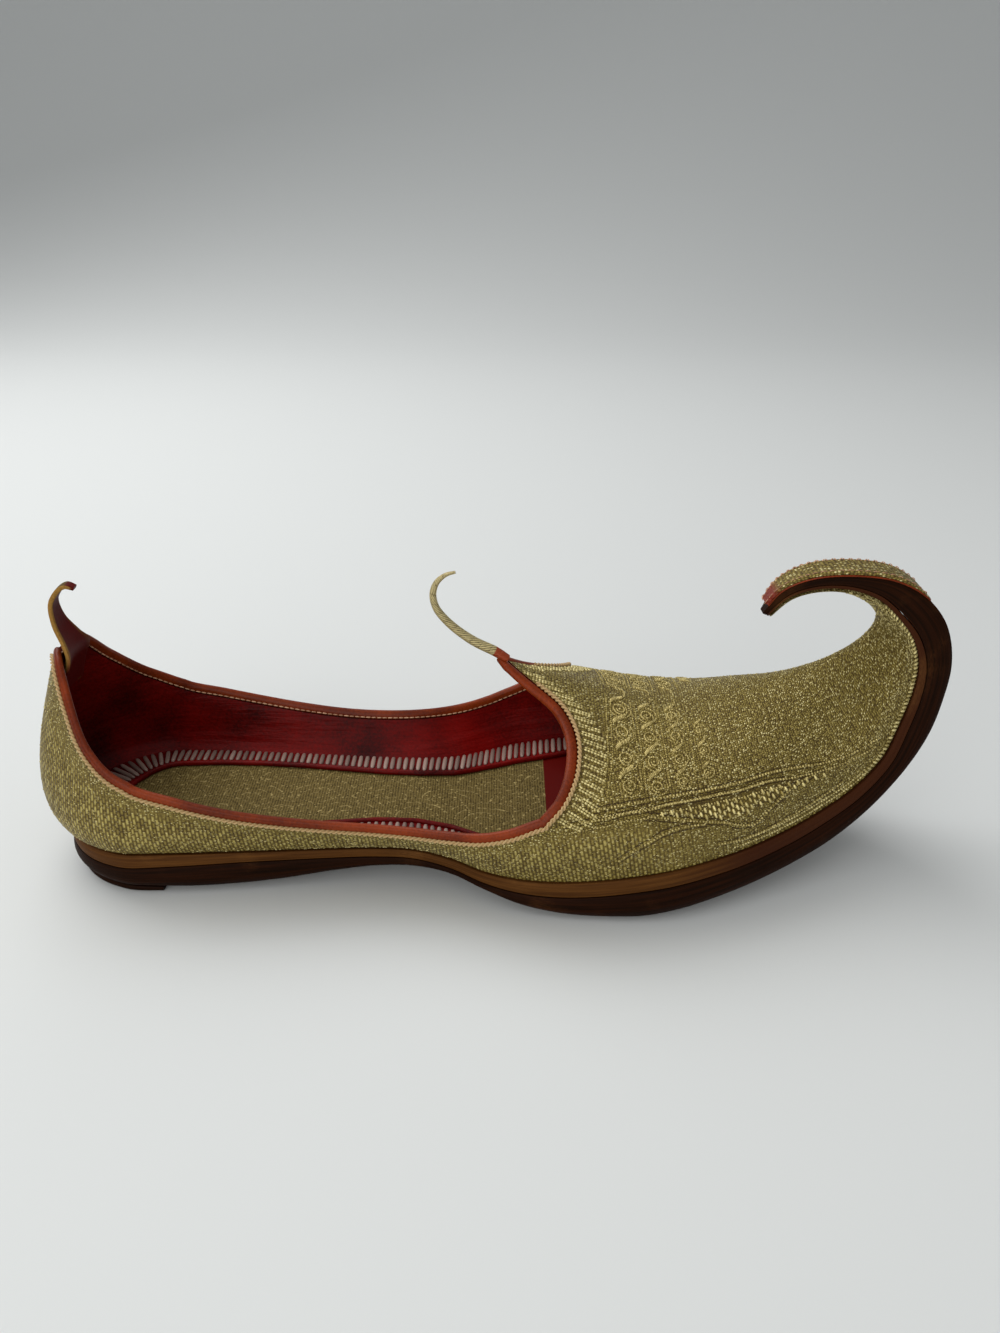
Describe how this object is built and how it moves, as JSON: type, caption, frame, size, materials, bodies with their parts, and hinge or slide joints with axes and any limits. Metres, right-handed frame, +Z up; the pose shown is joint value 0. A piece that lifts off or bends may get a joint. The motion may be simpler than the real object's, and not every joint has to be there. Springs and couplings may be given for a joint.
{
  "type": "shoe",
  "caption": "Slip-on mojari shoe with a gold brocade upper, red leather lining, stacked leather sole, curled toe, hooked throat tail and pointed heel tab.",
  "frame": {"origin": "under the middle of the shoe's length and width, on the plane it stands on", "axes": "+X from the heel towards the toe, +Z up"},
  "size_m": [0.295, 0.0946, 0.103],
  "materials": {
    "heel_lift": "waxed dark brown leather",
    "outsole": "waxed dark brown leather",
    "midsole": "tan leather edge",
    "insole": "quilted gold brocade",
    "upper": "gold brocade over red leather",
    "collar_binding": "orange red leather, semi gloss",
    "throat_tail": "rolled gold brocade",
    "heel_tab": "red brown leather",
    "toe_cover": "gold brocade strip"
  },
  "bodies": {
    "root": {"heel_lift": "heel_lift", "outsole": "outsole", "midsole": "midsole", "insole": "insole", "upper": "upper", "collar_binding": "collar_binding", "throat_tail": "throat_tail", "heel_tab": "heel_tab", "toe_cover": "toe_cover"}
  },
  "joints": []
}
